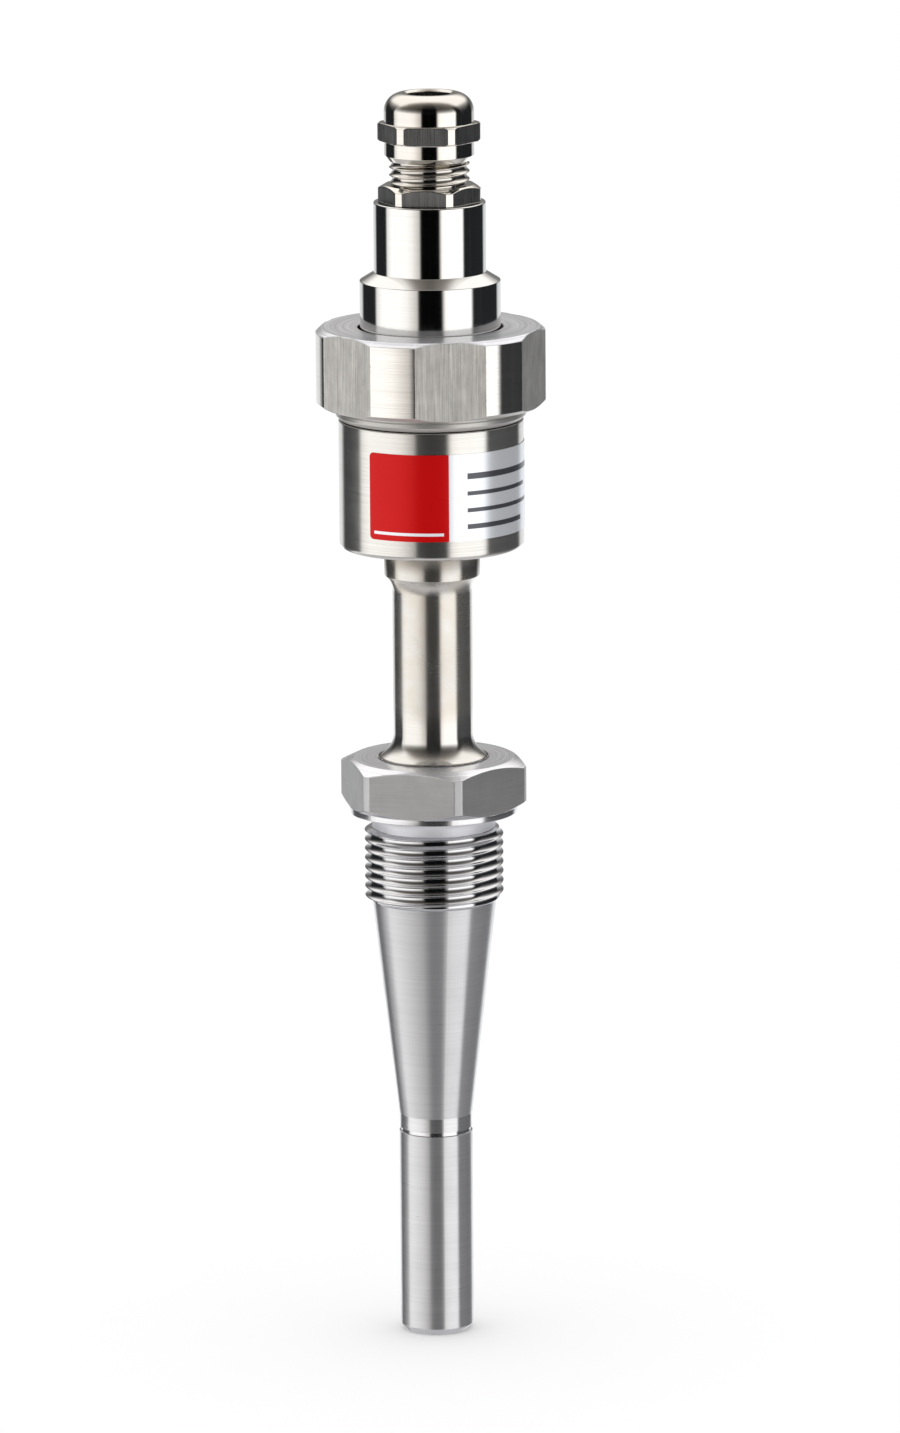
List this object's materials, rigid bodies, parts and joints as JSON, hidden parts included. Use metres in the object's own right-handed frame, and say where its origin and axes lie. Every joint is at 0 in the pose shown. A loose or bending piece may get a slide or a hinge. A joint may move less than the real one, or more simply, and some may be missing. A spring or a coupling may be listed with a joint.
{
  "type": "rtd probe with head",
  "caption": "Screw-in temperature probe: tapered thermowell, neck tube, round connection head with union nut and cable gland",
  "frame": {"origin": "centre of the sealing face under the thermowell's hexagon, on the probe's axis", "axes": "+Z along the probe's axis towards the connection head and cable gland; -Z towards the tip; -Y is the side that the label's colour boundary faces"},
  "size_m": [0.0436, 0.043, 0.2394],
  "materials": {
    "well_steel": "satin",
    "neck_steel": "satin",
    "housing_steel": "satin",
    "nut_steel": "satin",
    "sleeve_steel": "polished",
    "gland_nickel": "polished",
    "label_foil": "satin",
    "seal_rubber": "matte",
    "cage_plastic": "matte",
    "sheath_steel": "satin",
    "screw_steel": "satin",
    "spring_steel": "satin",
    "sensor_ceramic": "gloss",
    "block_ceramic": "matte",
    "wire_nickel": "satin",
    "clamp_brass": "satin"
  },
  "bodies": {
    "base": {"thermowell": "well_steel", "neck_tube": "neck_steel", "housing_body": "housing_steel", "label": "label_foil", "mounting_screws": "screw_steel", "insert_springs": "spring_steel", "earth_screw": "screw_steel", "earth_washer": "screw_steel"},
    "insert": {"insert_sheath": "sheath_steel", "sensor_element": "sensor_ceramic", "insulator_rod": "block_ceramic", "lead_wires": "wire_nickel", "insert_plate": "screw_steel", "terminal_block": "block_ceramic", "terminal_clamps": "clamp_brass", "terminal_screws": "screw_steel", "block_screws": "screw_steel"},
    "head": {"head_sleeve": "sleeve_steel", "head_o_ring": "seal_rubber", "gland_body": "gland_nickel", "gland_o_ring": "seal_rubber"},
    "union_nut": {"union_nut": "nut_steel"},
    "clamp_cage": {"gland_clamp_cage": "cage_plastic", "gland_seal": "seal_rubber"},
    "dome_nut": {"gland_dome_nut": "gland_nickel"}
  },
  "joints": [
    {"name": "insert_slide", "type": "slide", "parent": "base", "child": "insert", "axis": [0, 0, 1], "range_m": [0, 0.002], "stiffness_N_per_m": 2400, "springref_m": -0.004, "deforming": ["insert_springs"]},
    {"name": "head_lift", "type": "slide", "parent": "base", "child": "head", "axis": [0, 0, 1], "range_m": [0, 0.009]},
    {"name": "union_nut_turn", "type": "hinge", "parent": "head", "child": "union_nut", "pos_m": [0, 0, 0.0845], "axis": [0, 0, 1], "range_deg": [0, 2161]},
    {"name": "gland_cage_slide", "type": "slide", "parent": "head", "child": "clamp_cage", "axis": [0, 0, 1], "range_m": [-0.003, 0.0015]},
    {"name": "dome_nut_turn", "type": "hinge", "parent": "clamp_cage", "child": "dome_nut", "pos_m": [0, 0, 0.1302], "axis": [0, 0, 1], "range_deg": [-720, 360]}
  ],
  "couplings": [
    {"joint": "union_nut_turn", "follows": "head_lift", "rad_per_m": 4188.8},
    {"joint": "gland_cage_slide", "follows": "dome_nut_turn", "m_per_rad": 0.0002387}
  ]
}
